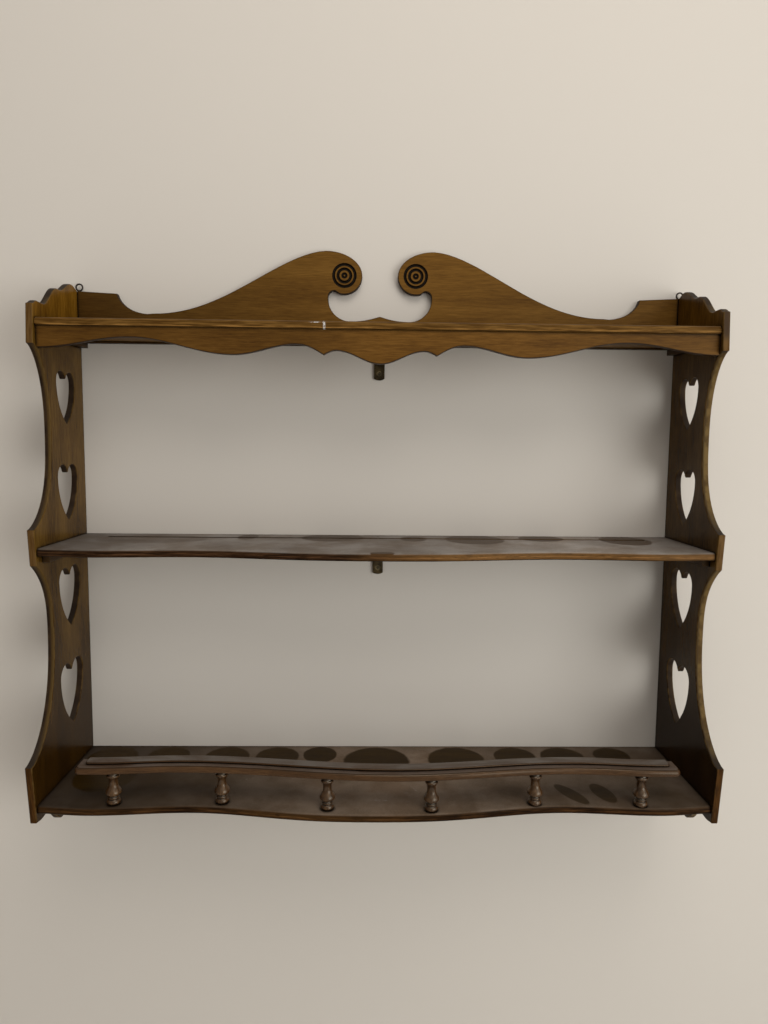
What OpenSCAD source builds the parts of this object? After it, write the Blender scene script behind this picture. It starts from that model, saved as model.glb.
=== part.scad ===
// Wall plate rack. Two scalloped side panels with heart cut-outs carry three shelves.
// A shaped apron hangs under the top shelf and a scrolled pediment board stands behind it.
// The bottom shelf has a low spindle gallery. Two angle brackets hold the rack to a wall.
// Millimetres. X runs right, Y runs into the wall and Z runs up. The origin is on the wall
// plane, in the middle of the width, level with the top face of the top shelf.

/* [Boards] */
// Overall width, outside to outside of the side panels
rack_w = 914; // [760:2:1000]
// Thickness of the side panels, the pediment board and the apron
board_t = 9.5; // [9:0.5:12]
// Thickness of the shelves
shelf_t = 10.5; // [9.5:0.5:12]
// Depth of the housings that hold the shelf ends
housing_d = 3; // [2:0.5:4]

/* [Shelves] */
// Drop from the top shelf to the middle shelf
middle_drop = 297; // [280:1:310]
// Drop from the top shelf to the bottom shelf
bottom_drop = 636; // [620:1:650]
// Front edge of the straight top shelf, out from the wall
top_shelf_d = 149; // [146:1:150]
// Base depth of the middle shelf, which its front edge swings about
middle_shelf_d = 167.5; // [162:0.5:169]
// Base depth of the bottom shelf, which its front edge swings about
bottom_shelf_d = 192; // [186:1:194]
// How far a serpentine front swells past its base depth at mid width
centre_swell = 20.5; // [10:0.5:24]
// How far it swells again near each end
outer_swell = 4; // [2:0.5:6]
// How far it draws in at each hollow
hollow_draw = 3.5; // [2:0.5:5]
// Distance of the middle shelf's plate groove from the wall
groove_y = 38; // [30:1:45]
// Width of the plate groove
groove_w = 8; // [6:1:10]
// Depth of the plate groove
groove_d = 3; // [2:0.5:4]

/* [Side panels] */
// Depth at the top block
top_block_d = 152; // [151:1:156]
// Depth at the middle block
middle_block_d = 171; // [169:1:175]
// Depth at the bottom block
bottom_block_d = 200.5; // [196:0.5:204]
// Waist of the upper scallop, out from the wall
upper_waist_d = 111; // [104:1:118]
// Waist of the lower scallop, out from the wall
lower_waist_d = 123; // [116:1:130]
// Width of the smallest, topmost heart
heart_w = 60; // [50:1:64]
// Height of the topmost heart
heart_h = 74; // [64:1:78]

/* [Pediment and apron] */
// Height of the scroll tops above the top shelf
scroll_top = 127.5; // [117:0.5:132]
// Height of the pediment board's ends, where they meet the side panels
pediment_end_h = 64.5; // [60:0.5:66]
// Distance of each rosette from mid width
rosette_x = 53; // [50:1:56]
// Height of the rosettes above the top shelf
rosette_z = 92; // [90:0.5:93]
// Front face of the apron, out from the wall
apron_d = 146; // [140:1:147]
// Drop of the apron's middle lobe below the top shelf
apron_drop = 52; // [48:1:56]

/* [Gallery] */
// Height of the spindles between shelf and rail
spindle_h = 43.5; // [40:0.5:46]
// Largest diameter of a spindle
spindle_dia = 20.5; // [18:0.5:22]
// Width of the gallery rail
rail_w = 29; // [27:1:34]
// Thickness of the gallery rail
rail_t = 12; // [11:0.5:14]
// Overall length of the gallery rail
rail_l = 803; // [760:1:810]

/* [Fixings] */
// Length of each leg of an angle bracket
bracket_leg = 50; // [46:1:56]
// Width of an angle bracket
bracket_w = 16; // [14:1:20]
// Metal thickness of an angle bracket
bracket_t = 2; // [1.5:0.25:2.5]
// Distance of the outer screw from the end of a bracket leg
screw_end = 10; // [9:1:12]
// Spacing of the two screws in a bracket leg
screw_pitch = 20; // [18:1:22]
// Shank diameter of the bracket screws
screw_dia = 4; // [3.5:0.25:4.25]
// Length of the wall screws past the wall plane
wall_screw_l = 28; // [20:1:40]
// Outer diameter of a screw eye's ring
eye_dia = 12; // [11:0.5:13]

/* [Hidden] */

oak = "#6b4a26";
walnut = "#5f4222";
brass = "#6e5a35";
steel = "#4a4238";

inner_x = rack_w / 2 - board_t;
shelf_z = [0, -middle_drop, -bottom_drop];
eps = 0.01;

// Places along the half width where the serpentine front has its hollow and outer crest.
hollow_x = 250;
outer_x = 378;
outer_fall = 90;

// Blocks on the front edge of the side panels, as heights of their corners.
top_block = [20, -31];
middle_block = [25 - middle_drop, -23 - middle_drop];
bottom_block = [57 - bottom_drop, -22.5 - bottom_drop];
// How far each block's front stands further out at its lower corner.
block_lean = [3, -4.5, -9];
upper_waist_z = -140;
lower_waist_z = -423;

// Crown of the side panels: distance from the wall, then height above the top shelf.
crown = [[0, 62.5], [28, 70], [70, 53.6], [76, 54], [122, 24.8], [139, 25.4],
    [top_block_d, top_block[0]]];
// Lower end of a side panel: much the same line upside down, measured from the foot's corner.
side_foot = [[0, 62.5], [28, 69], [66, 51.5], [76, 51.8], [117, 20.5], [139, 22],
    [top_block_d, top_block[0]]];

// Hearts: distance from the wall, height of the lobe tops, size against the topmost heart.
hearts = [[58.5, -58, 1], [60.5, -190, 1.08], [65, -337.5, 1.16], [68, -476.5, 1.24]];
heart_lobe = 0.257;

// Lower edge of the apron, mid width to side: distance along, drop below the top shelf.
apron_low = [[0, -apron_drop], [58, -35], [74.5, -41], [109, -27.5], [195, -42.5],
    [326, -22.5], [inner_x, -38]];
tooth_i = 2;

// Half of the rosette's ring grooves: radius of the ring, radius of the round cutter.
rosette_rings = [[16, 1.9], [9.5, 1.9], [2.8, 1.4]];

tongue_shoulder = 1;
tenon_r = 3;
shelf_tenon = 6;
rail_tenon = 7;
// The gallery loosely follows the bottom shelf's front. Its nose runs through these knots of
// [along, out from the wall]. The spindles stand behind the nose.
rail_knots = [[-470, 188], [-378, 191.5], [-262, 184.8], [25, 209.6], [262, 188.6], [378, 196],
    [470, 192.5]];
rail_cx = 2.5;
spindle_setback = 9.5;
spindle_xs = [-350, -207, -65.5, 71.5, 212, 353.5];
rail_z = -bottom_drop + spindle_h;
cap_t = 3;
cap_step = 11.5;
nose_round = 3.5;

cleat_s = 10;
middle_cleat_l = 150;
brad_s = 1.6;
brad_head = 2.6;
brad_l = 22;
eye_wire_r = 1.2;
eye_stem = 12;
eye_y = -5;
// Foot of each eye: the left one in the pediment's end, the right one in the side panel.
eye_foot = [[1.7 - inner_x, pediment_end_h], [inner_x + 3.5, chain(crown, -eye_y)]];

// Half a cosine wave from a to b.
function ease(a, b, t) = a + (b - a) * (1 - cos(180 * t)) / 2;

// How far a serpentine front stands past its base depth at x.
function swell(x) = let (ax = abs(x))
    ax < hollow_x ? ease(centre_swell, -hollow_draw, pow(ax / hollow_x, 1.3))
    : ax < outer_x ? ease(-hollow_draw, outer_swell, (ax - hollow_x) / (outer_x - hollow_x))
    : ease(outer_swell, -hollow_draw, (ax - outer_x) / outer_fall);

// Height on a chain of knots at u, each span joined by half a cosine wave.
function chain(knots, u, i = 0) =
    i + 2 >= len(knots) || u <= knots[i + 1][0]
    ? ease(knots[i][1], knots[i + 1][1],
        (u - knots[i][0]) / (knots[i + 1][0] - knots[i][0]))
    : chain(knots, u, i + 1);

// Points on an elliptic arc from angle a0 to a1.
function arc(cx, cz, rx, rz, a0, a1, n) = [for (i = [0:n])
    let (a = a0 + (a1 - a0) * i / n) [cx + rx * cos(a), cz + rz * sin(a)]];

// Half a scallop, from its waist to the corner of a block. p and q set how long it stays
// near the waist and how sharply it flares.
function scallop(waist, corner, p, q, n = 15) = [for (i = [0:n])
    let (t = 1 - pow(1 - i / n, 1.7))
    [corner[0] - (corner[0] - waist[0]) * pow(1 - pow(t, p), q),
        waist[1] + (corner[1] - waist[1]) * t]];

function reversed(p) = [for (i = [len(p) - 1:-1:0]) p[i]];

// Turns an outline drawn as [x, z] into a board that is t thick, its front face at y = -front.
module upright_board(front, t) {
    translate([0, t - front, 0]) rotate([90, 0, 0]) linear_extrude(height = t) children();
}

// Turns an outline drawn as [distance from wall, z] into a board along X from x0.
module side_board(x0, t) {
    translate([x0, 0, 0]) rotate([90, 0, -90]) mirror([0, 0, 1]) linear_extrude(height = t)
        children();
}

// ---------------------------------------------------------------- side panels
module side_outline() {
    foot_shift = bottom_block_d + block_lean[2] - top_block_d;
    foot_z = bottom_block[1] + top_block[0];
    crown_line = [for (u = [0:3.5:top_block_d - 1]) [u, chain(crown, u)]];
    foot_line = [for (p = crown_line) [p[0] + foot_shift, foot_z - chain(side_foot, p[0])]];
    upper_waist = [upper_waist_d, upper_waist_z];
    lower_waist = [lower_waist_d, lower_waist_z];
    polygon(concat(
        crown_line,
        [[top_block_d, top_block[0]]],
        reversed(scallop(upper_waist, [top_block_d + block_lean[0], top_block[1]], 2.3, 0.65)),
        scallop(upper_waist, [middle_block_d, middle_block[0]], 3, 0.7),
        reversed(scallop(lower_waist, [middle_block_d + block_lean[1], middle_block[1]],
            3, 0.95)),
        scallop(lower_waist, [bottom_block_d, bottom_block[0]], 2.3, 0.61),
        [[bottom_block_d + block_lean[2], bottom_block[1]]],
        reversed(foot_line),
        [[0, foot_z - side_foot[0][1]]]));
}

// A heart with its lobe tops at z = 0 and its tip down; the flanks are arcs that meet
// the lobes at their widest.
module heart(w, h) {
    r = w * heart_lobe;
    flank_h = h - r;
    flank_r = (w * w / 4 + flank_h * flank_h) / w;
    translate([0, -r]) {
        for (s = [-1, 1]) translate([s * (w / 2 - r), 0]) circle(r, $fn = 48);
        intersection() {
            translate([w / 2 - flank_r, 0]) circle(flank_r, $fn = 160);
            translate([flank_r - w / 2, 0]) circle(flank_r, $fn = 160);
            translate([-w, -h]) square([2 * w, h]);
        }
    }
}

module side_panel(s) {
    difference() {
        side_board(s > 0 ? inner_x : -rack_w / 2, board_t) difference() {
            side_outline();
            for (p = hearts) translate([p[0], p[1]]) heart(heart_w * p[2], heart_h * p[2]);
        }
        for (i = [0:2]) shelf_tongue(i, s);
        for (i = [0:2]) side_brad_row(i, s);
        if (s > 0) eye_stem_in(eye_foot[1]);
    }
}

module left_side_panel() { color(walnut) side_panel(-1); }
module right_side_panel() { color(walnut) side_panel(1); }

// ---------------------------------------------------------------- shelves
// Base depth of each shelf, where its back edge is and how far its tongues reach forward.
shelf_base = [top_shelf_d, middle_shelf_d, bottom_shelf_d];
function shelf_back(i) = i == 0 ? board_t : 0;
function tongue_front(i) = shelf_base[i] - 8;

// The end of shelf i that sits in the housing of the side panel, under a small shoulder.
module shelf_tongue(i, s) {
    translate([s > 0 ? inner_x - eps : -inner_x - housing_d, -tongue_front(i),
        shelf_z[i] - shelf_t])
        cube([housing_d + eps, tongue_front(i) - shelf_back(i), shelf_t - tongue_shoulder]);
}

module shelf(i) {
    front = i == 0 ? [[-inner_x, -top_shelf_d], [inner_x, -top_shelf_d]]
        : [for (x = [-inner_x:2 * inner_x / 100:inner_x + eps]) [x, -shelf_base[i] - swell(x)]];
    translate([0, 0, shelf_z[i] - shelf_t]) linear_extrude(height = shelf_t)
        polygon(concat([[-inner_x, -shelf_back(i)]], front, [[inner_x, -shelf_back(i)]]));
    for (s = [-1, 1]) shelf_tongue(i, s);
}

// The routed groove in the middle shelf that a plate's rim stands in, stopped short of the
// sides. The bottom shelf has none: its rail holds the plates.
module plate_groove() {
    reach = inner_x - 50;
    groove_z = shelf_z[1] - groove_d;
    translate([-reach, -groove_y - groove_w / 2, groove_z])
        cube([2 * reach, groove_w, groove_d + 1]);
    for (s = [-1, 1]) translate([s * reach, -groove_y, groove_z])
        cylinder(d = groove_w, h = groove_d + 1, $fn = 32);
}

module top_shelf() {
    color(walnut) difference() {
        shelf(0);
        for (s = [-1, 1]) side_brad_row(0, s);
        pediment_brad_row();
        apron_brad_row();
        shelf_screw_row(0);
    }
}

module middle_shelf() {
    color(walnut) difference() {
        shelf(1);
        plate_groove();
        for (s = [-1, 1]) side_brad_row(1, s);
        shelf_screw_row(1);
    }
}

module bottom_shelf() {
    color(walnut) difference() {
        shelf(2);
        for (s = [-1, 1]) side_brad_row(2, s);
        for (n = [1:6]) spindle_place(n) translate([0, 0, -shelf_tenon])
            cylinder(r = tenon_r, h = shelf_tenon + 1, $fn = 32);
    }
}

// ---------------------------------------------------------------- pediment board
// Right half of the upper edge, from the little peak at mid width, round the open bulb
// and the scroll lobe, over the scroll and down the flank to the level end.
function pediment_half() = let (
        bulb_r = 33, bulb_c = [44, 58.5], nib_r = 9, lobe_r = 27,
        lobe_c = [rosette_x + 0.5, rosette_z], top_x = 80, flank_x = 336, flank_z = 33.5,
        peak_r = 133, end_rx = 50, end_rz = 34.5)
    concat(
        arc(bulb_c[0], bulb_c[1] - bulb_r + peak_r, peak_r, peak_r, -109, -93, 5),
        arc(bulb_c[0], bulb_c[1], bulb_r, bulb_r, -90, -2, 12),
        arc(bulb_c[0] + bulb_r - nib_r, bulb_c[1] + 2.5, nib_r, nib_r, 5, 100, 8),
        arc(lobe_c[0], lobe_c[1], lobe_r, lobe_r, -75, -180, 16),
        arc(top_x, rosette_z, top_x - lobe_c[0] + lobe_r, scroll_top - rosette_z,
            176, 90, 16),
        [for (i = [1:24]) let (t = i / 24) [top_x + (flank_x - top_x) * t,
            ease(scroll_top, flank_z, pow(t, 0.84))]],
        arc(flank_x + 4, flank_z + end_rz - 1, end_rx, end_rz, -84, -9, 9),
        [[inner_x, pediment_end_h]]);

module pediment_outline() {
    half = pediment_half();
    polygon(concat(
        [[inner_x, -shelf_t], [-inner_x, -shelf_t]],
        [for (p = reversed(half)) [-p[0], p[1]]],
        half));
}

module pediment_board() {
    color(oak) difference() {
        upright_board(board_t, board_t) pediment_outline();
        for (s = [-1, 1]) translate([s * rosette_x, -board_t, rosette_z]) rotate([90, 0, 0])
            for (ring = rosette_rings) rotate_extrude($fn = 64)
                translate([ring[0], 0]) circle(ring[1], $fn = 24);
        pediment_brad_row();
        eye_stem_in(eye_foot[0]);
    }
}

// ---------------------------------------------------------------- apron
function apron_edge(x) = let (a = apron_low[tooth_i - 1], b = apron_low[tooth_i],
        c = apron_low[tooth_i + 1])
    x > a[0] && x <= b[0] ? a[1] + (b[1] - a[1]) * (1 - cos(90 * (x - a[0]) / (b[0] - a[0])))
    : x > b[0] && x <= c[0] ? b[1] + (c[1] - b[1]) * sin(90 * (x - b[0]) / (c[0] - b[0]))
    : chain(apron_low, x);

module apron() {
    fine = [for (x = [0:5.8:58]) x];
    tooth = [for (x = [62, 66, 70, 74.5, 77, 80, 84, 89, 95, 102]) x];
    broad = [for (x = [109:8:inner_x]) x];
    half = [for (x = concat(fine, tooth, broad, [inner_x])) [x, apron_edge(x)]];
    color(oak) difference() {
        upright_board(apron_d, board_t) polygon(concat(
            [[inner_x, -shelf_t], [-inner_x, -shelf_t]],
            [for (i = [len(half) - 1:-1:1]) [-half[i][0], half[i][1]]],
            half));
        apron_brad_row();
    }
}

// ---------------------------------------------------------------- spindle gallery
module spindle_place(n) {
    x = spindle_xs[n - 1];
    translate([x, spindle_setback - chain(rail_knots, x), -bottom_drop]) children();
}

// Turned outline as [radius, height]: foot bead, small bead, low belly that thins to a neck,
// and a collar of a fillet and a bead.
function spindle_profile() = let (b = spindle_dia / 2, foot = 6.8, bead = 3.8, waist = b - 4.6,
        waist_z = foot + bead + 1.8, belly_z = waist_z + 3.8, neck = 5.8, neck_z = spindle_h * 0.63,
        collar_z = spindle_h - 8.5)
    concat(
        [for (i = [0:8]) [b - 2.6 + 1.3 * sin(22.5 * i), foot * i / 8]],
        [for (i = [0:6]) [b - 3.9 + 1.1 * sin(30 * i), foot + 0.3 + bead * i / 6]],
        [for (i = [0:6]) [waist + (b - waist) * sin(15 * i),
            waist_z + (belly_z - waist_z) * (1 - cos(15 * i))]],
        [for (i = [1:10]) [ease(b, neck, i / 10), belly_z + (neck_z - belly_z) * i / 10]],
        [[neck - 0.2, collar_z], [neck + 0.9, collar_z + 0.4], [neck + 0.9, collar_z + 1.4]],
        [for (i = [0:6]) [neck + 1.2 + 1.8 * sin(30 * i), collar_z + 1.6 + 5 * i / 6]],
        [[neck + 1.8, spindle_h]]);

module gallery_spindle(n) {
    color(walnut) spindle_place(n) {
        rotate_extrude($fn = 48) polygon(concat([[0, 0]], spindle_profile(), [[0, spindle_h]]));
        translate([0, 0, -shelf_tenon]) cylinder(r = tenon_r, h = shelf_tenon + 1, $fn = 32);
        translate([0, 0, spindle_h - 1]) cylinder(r = tenon_r, h = rail_tenon + 1, $fn = 32);
    }
}

// Plan of the rail, drawn in from the nose and the ends by d. The back edge is drawn in
// by back_d. Front corners are rounded.
function rail_plan(d, back_d) = let (e = rail_l / 2 - d, corner = 8, n = 56)
    concat(
        [for (i = [0:n]) let (x = -e + 2 * e * i / n,
            q = max(0, abs(x) - e + corner),
            nose = d + corner - sqrt(max(0, corner * corner - q * q)))
            [rail_cx + x, nose - chain(rail_knots, rail_cx + x)]],
        [for (i = [n:-1:0]) let (x = -e + 2 * e * i / n)
            [rail_cx + x, rail_w - back_d - chain(rail_knots, rail_cx + x)]]);

// A solid through stacked plans. Each level is [height, nose inset, back inset].
module stacked(levels) {
    rings = [for (l = levels) [for (p = rail_plan(l[1], l[2])) [p[0], p[1], l[0]]]];
    m = len(rings[0]);
    top = len(levels) - 1;
    half = m / 2;
    wall = [for (k = [0:top - 1]) for (i = [0:m - 1]) let (j = (i + 1) % m, a = k * m, b = a + m)
        each [[a + i, b + i, a + j], [a + j, b + i, b + j]]];
    floor = [for (i = [0:half - 2]) each [[i, i + 1, m - 1 - i], [i + 1, m - 2 - i, m - 1 - i]]];
    lid = [for (f = floor) [f[0] + top * m, f[2] + top * m, f[1] + top * m]];
    polyhedron(points = [for (r = rings) each r], faces = concat(wall, floor, lid));
}

// The rail's nose stands nearly upright, is rounded above and has a step to the cap behind.
module gallery_rail() {
    body_t = rail_t - cap_t;
    nose = [for (a = [0:18:90])
        [rail_z + 3.5 + (body_t - 3.5) * sin(a), nose_round * (1 - cos(a)), 0]];
    body = concat([[rail_z, 1.5, 1], [rail_z + 1, 0.4, 0]], nose);
    cap = [[rail_z + body_t - 1, cap_step, 0], [rail_z + rail_t - 1.2, cap_step, 0],
        [rail_z + rail_t, cap_step + 1, 1]];
    color(walnut) difference() {
        union() {
            stacked(body);
            stacked(cap);
        }
        for (n = [1:6]) spindle_place(n) translate([0, 0, spindle_h - 1])
            cylinder(r = tenon_r, h = rail_tenon + 1, $fn = 32);
    }
}

module gallery_spindle_1() { gallery_spindle(1); }
module gallery_spindle_2() { gallery_spindle(2); }
module gallery_spindle_3() { gallery_spindle(3); }
module gallery_spindle_4() { gallery_spindle(4); }
module gallery_spindle_5() { gallery_spindle(5); }
module gallery_spindle_6() { gallery_spindle(6); }

// ---------------------------------------------------------------- cleats
module cleat(s, i, l) {
    color(walnut) translate([s > 0 ? inner_x - cleat_s : -inner_x, -l,
        shelf_z[i] - shelf_t - cleat_s]) cube([cleat_s, l, cleat_s]);
}

module left_top_cleat() { cleat(-1, 0, apron_d - board_t); }
module right_top_cleat() { cleat(1, 0, apron_d - board_t); }
module left_middle_cleat() { cleat(-1, 1, middle_cleat_l); }
module right_middle_cleat() { cleat(1, 1, middle_cleat_l); }

// ---------------------------------------------------------------- wall brackets and screws
// Screw places along a leg, measured from the bend.
screw_at = [bracket_leg - screw_end - screw_pitch, bracket_leg - screw_end];
head_r = screw_dia + 0.2;
head_h = bracket_t;

// One leg: a strip with a bowed end, lying on z = 0 and running along -Y.
module bracket_leg_strip() {
    bow = 14;
    difference() {
        linear_extrude(height = bracket_t) intersection() {
            translate([-bracket_w / 2, -bracket_leg]) square([bracket_w, bracket_leg]);
            translate([0, bow - bracket_leg]) union() {
                circle(bow, $fn = 96);
                translate([-bracket_w / 2, 0]) square([bracket_w, bracket_leg]);
            }
        }
        for (d = screw_at) translate([0, -d, 0]) {
            translate([0, 0, -1]) cylinder(d = screw_dia, h = bracket_t + 2, $fn = 32);
            translate([0, 0, -eps]) cylinder(r1 = head_r, r2 = screw_dia / 2, h = head_h, $fn = 32);
        }
    }
}

// The level leg lies under the shelf and the upright leg lies against the wall.
module bracket(i) {
    translate([0, 0, shelf_z[i] - shelf_t - bracket_t]) bracket_leg_strip();
    translate([0, -bracket_t, shelf_z[i] - shelf_t]) mirror([0, 1, 0]) rotate([90, 0, 0])
        bracket_leg_strip();
}

module upper_wall_bracket() { color(brass) bracket(0); }
module middle_wall_bracket() { color(brass) bracket(1); }

// A countersunk cross-head wood screw. The head's face is at z = 0 and the shank runs up.
module wood_screw(l) {
    tip = 4;
    slot_l = 5;
    slot_w = 1.1;
    difference() {
        union() {
            cylinder(r1 = head_r, r2 = screw_dia / 2, h = head_h, $fn = 32);
            cylinder(d = screw_dia, h = l - tip, $fn = 32);
            translate([0, 0, l - tip]) cylinder(r1 = screw_dia / 2, r2 = 0.3, h = tip, $fn = 32);
        }
        for (a = [0, 90]) rotate([0, 0, a])
            translate([-slot_l / 2, -slot_w / 2, -1]) cube([slot_l, slot_w, 1.9]);
    }
}

// Screws up through the level leg into shelf i; their tips just show in its top face.
module shelf_screw_pair(i) {
    for (d = screw_at) translate([0, -d, shelf_z[i] - shelf_t - bracket_t])
        wood_screw(shelf_t + bracket_t + 0.5);
}

// Their holes in the shelf.
module shelf_screw_row(i) {
    for (d = screw_at) translate([0, -d, shelf_z[i] - shelf_t - 1])
        cylinder(d = screw_dia, h = shelf_t + 2, $fn = 32);
}

module wall_screw_pair(i) {
    for (d = screw_at) translate([0, -bracket_t, shelf_z[i] - shelf_t - d])
        rotate([-90, 0, 0]) wood_screw(wall_screw_l + bracket_t);
}

module upper_shelf_screws() { color(brass) shelf_screw_pair(0); }
module middle_shelf_screws() { color(brass) shelf_screw_pair(1); }
module upper_wall_screws() { color(brass) wall_screw_pair(0); }
module middle_wall_screws() { color(brass) wall_screw_pair(1); }

// ---------------------------------------------------------------- screw eyes
module eye_stem_in(foot) {
    translate([foot[0], eye_y, foot[1] - eye_stem])
        cylinder(r = eye_wire_r, h = eye_stem + 1, $fn = 32);
}

module screw_eye(foot) {
    color(steel) {
        eye_stem_in(foot);
        translate([foot[0], eye_y, foot[1] + eye_dia / 2])
            rotate([90, 0, 0]) rotate_extrude($fn = 64)
                translate([eye_dia / 2 - eye_wire_r, 0]) circle(eye_wire_r, $fn = 24);
    }
}

module left_screw_eye() { screw_eye(eye_foot[0]); }
module right_screw_eye() { screw_eye(eye_foot[1]); }

// ---------------------------------------------------------------- brads
// A square cut brad with its head flush at the origin, driven along +Z.
module brad() {
    translate([-brad_s / 2, -brad_s / 2, 0]) cube([brad_s, brad_s, brad_l]);
    translate([-brad_head / 2, -brad_head / 2, 0]) cube([brad_head, brad_head, 1]);
}

// Three brads through a side panel into each shelf end.
module side_brad_row(i, s) {
    for (t = [0.15, 0.5, 0.85])
        translate([s * rack_w / 2, -tongue_front(i) * t, shelf_z[i] - shelf_t / 2])
            rotate([0, -90 * s, 0]) brad();
}

// Through the pediment board's back into the back edge of the top shelf.
module pediment_brad_row() {
    for (x = [-400:200:400]) translate([x + (x == 0 ? 40 : 0), 0, -shelf_t / 2])
        rotate([90, 0, 0]) brad();
}

// Down through the top shelf into the apron.
module apron_brad_row() {
    for (x = [-400:160:400]) translate([x, board_t / 2 - apron_d, 0])
        rotate([180, 0, 0]) brad();
}

module left_side_brads() { color(steel) for (i = [0:2]) side_brad_row(i, -1); }
module right_side_brads() { color(steel) for (i = [0:2]) side_brad_row(i, 1); }
module pediment_brads() { color(steel) pediment_brad_row(); }
module apron_brads() { color(steel) apron_brad_row(); }

left_side_panel();
right_side_panel();
top_shelf();
middle_shelf();
bottom_shelf();
pediment_board();
apron();
gallery_rail();
gallery_spindle_1();
gallery_spindle_2();
gallery_spindle_3();
gallery_spindle_4();
gallery_spindle_5();
gallery_spindle_6();
left_top_cleat();
right_top_cleat();
left_middle_cleat();
right_middle_cleat();
upper_wall_bracket();
middle_wall_bracket();
upper_shelf_screws();
middle_shelf_screws();
upper_wall_screws();
middle_wall_screws();
left_screw_eye();
right_screw_eye();
left_side_brads();
right_side_brads();
pediment_brads();
apron_brads();
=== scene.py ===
from functools import reduce
from math import cos, pi, radians, sin, sqrt

import bmesh
import bpy
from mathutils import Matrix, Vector


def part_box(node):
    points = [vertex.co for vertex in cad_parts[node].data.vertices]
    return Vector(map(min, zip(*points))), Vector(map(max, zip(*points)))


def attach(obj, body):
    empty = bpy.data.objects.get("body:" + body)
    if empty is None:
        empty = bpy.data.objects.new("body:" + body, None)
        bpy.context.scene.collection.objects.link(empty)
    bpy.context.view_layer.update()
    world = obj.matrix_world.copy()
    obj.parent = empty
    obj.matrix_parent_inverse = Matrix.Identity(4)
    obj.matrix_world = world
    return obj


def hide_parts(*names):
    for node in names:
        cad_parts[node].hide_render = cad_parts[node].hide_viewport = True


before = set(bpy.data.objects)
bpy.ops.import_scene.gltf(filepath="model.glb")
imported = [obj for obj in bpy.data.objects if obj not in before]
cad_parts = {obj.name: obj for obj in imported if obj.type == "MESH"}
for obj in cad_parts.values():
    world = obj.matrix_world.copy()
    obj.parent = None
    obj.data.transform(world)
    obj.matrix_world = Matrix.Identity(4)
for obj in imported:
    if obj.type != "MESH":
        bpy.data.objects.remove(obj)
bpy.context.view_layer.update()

scene = bpy.context.scene

# ------------------------------------------------------------------------------ camera
# A wide view from a little over a metre away, held between the upper two shelves and tipped
# slightly down, with a trace of roll.
camera = bpy.data.objects.new("camera", bpy.data.cameras.new("camera"))
scene.collection.objects.link(camera)
scene.camera = camera
camera.data.sensor_width = 36
camera.data.lens = 24.96
camera.location = (-0.00993, -1.09168, -0.15759)
camera.rotation_euler = [radians(turn) for turn in (84.600, -0.5275, -0.9502)]
scene.view_settings.view_transform = "Standard"

# ------------------------------------------------------------------- backdrop and light
# A pale wall just behind the rack, a pale floor well below it, a soft lamp level with the
# rack from the right, a second overhead, and a dim surround, brighter on the right. The
# wall shows only from the front, so that the rack's back can be looked at too.


def new_material(name):
    """A material with nodes. Returns it, its node tree and its Principled shader."""
    material = bpy.data.materials.new(name)
    material.use_nodes = True
    return material, material.node_tree, material.node_tree.nodes["Principled BSDF"]


def wire(tree, node, wires):
    """Links each input that is given a socket, and sets each that is given a value."""
    for name, value in wires.items():
        if isinstance(value, bpy.types.NodeSocket):
            tree.links.new(value, node.inputs[name])
        else:
            node.inputs[name].default_value = value
    return node.outputs


def place(tree, kind, wires, **settings):
    """Adds a shader node, sets it up and returns its outputs."""
    made = tree.nodes.new("ShaderNode" + kind)
    for name, value in settings.items():
        setattr(made, name, value)
    return wire(tree, made, wires)


def calc(tree, operation, first, second=0.5, third=0.5, clamp=False):
    return place(tree, "Math", {0: first, 1: second, 2: third}, operation=operation,
                 use_clamp=clamp)[0]


def stage_sheet(name, corners, material):
    mesh = bpy.data.meshes.new(name)
    mesh.from_pydata(corners, [], [range(4)])
    mesh.materials.append(material)
    sheet = bpy.data.objects.new(name, mesh)
    scene.collection.objects.link(sheet)


wall_paint, tree = new_material("wall_paint")[:2]
tree.nodes.clear()
paint = place(tree, "BsdfDiffuse", {"Color": (0.60, 0.548, 0.488, 1)})[0]
ray = place(tree, "LightPath", {})
seen = calc(tree, "MAXIMUM", ray["Is Camera Ray"], ray["Is Glossy Ray"])
seen = calc(tree, "MAXIMUM", seen, ray["Is Transmission Ray"])
behind = place(tree, "NewGeometry", {})["Backfacing"]
seen = calc(tree, "SUBTRACT", seen, behind, clamp=True)
clear = place(tree, "BsdfTransparent", {})[0]
shown = place(tree, "MixShader", {0: seen, 1: clear, 2: paint})[0]
place(tree, "OutputMaterial", {"Surface": shown})

floor_paint, tree, shader = new_material("floor_paint")
wire(tree, shader, {"Base Color": (0.62, 0.6, 0.57, 1), "Roughness": 0.9})

WALL_Y, FLOOR_Z, REACH = 0.0015, -1.35, 4.0
stage_sheet("wall", [(-REACH, WALL_Y, FLOOR_Z), (REACH, WALL_Y, FLOOR_Z), (REACH, WALL_Y, REACH),
                     (-REACH, WALL_Y, REACH)], wall_paint)
stage_sheet("floor", [(-REACH, -REACH, FLOOR_Z), (REACH, -REACH, FLOOR_Z), (REACH, REACH, FLOOR_Z),
                      (-REACH, REACH, FLOOR_Z)], floor_paint)


def soft_lamp(name, spot, aim, size, watts, colour):
    lamp = bpy.data.lights.new(name, "AREA")
    lamp.shape = "DISK"
    lamp.size = size
    lamp.energy = watts
    lamp.color = colour
    holder = bpy.data.objects.new(name, lamp)
    scene.collection.objects.link(holder)
    holder.location = spot
    holder.rotation_euler = (Vector(aim) - Vector(spot)).to_track_quat("-Z", "Y").to_euler()


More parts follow.
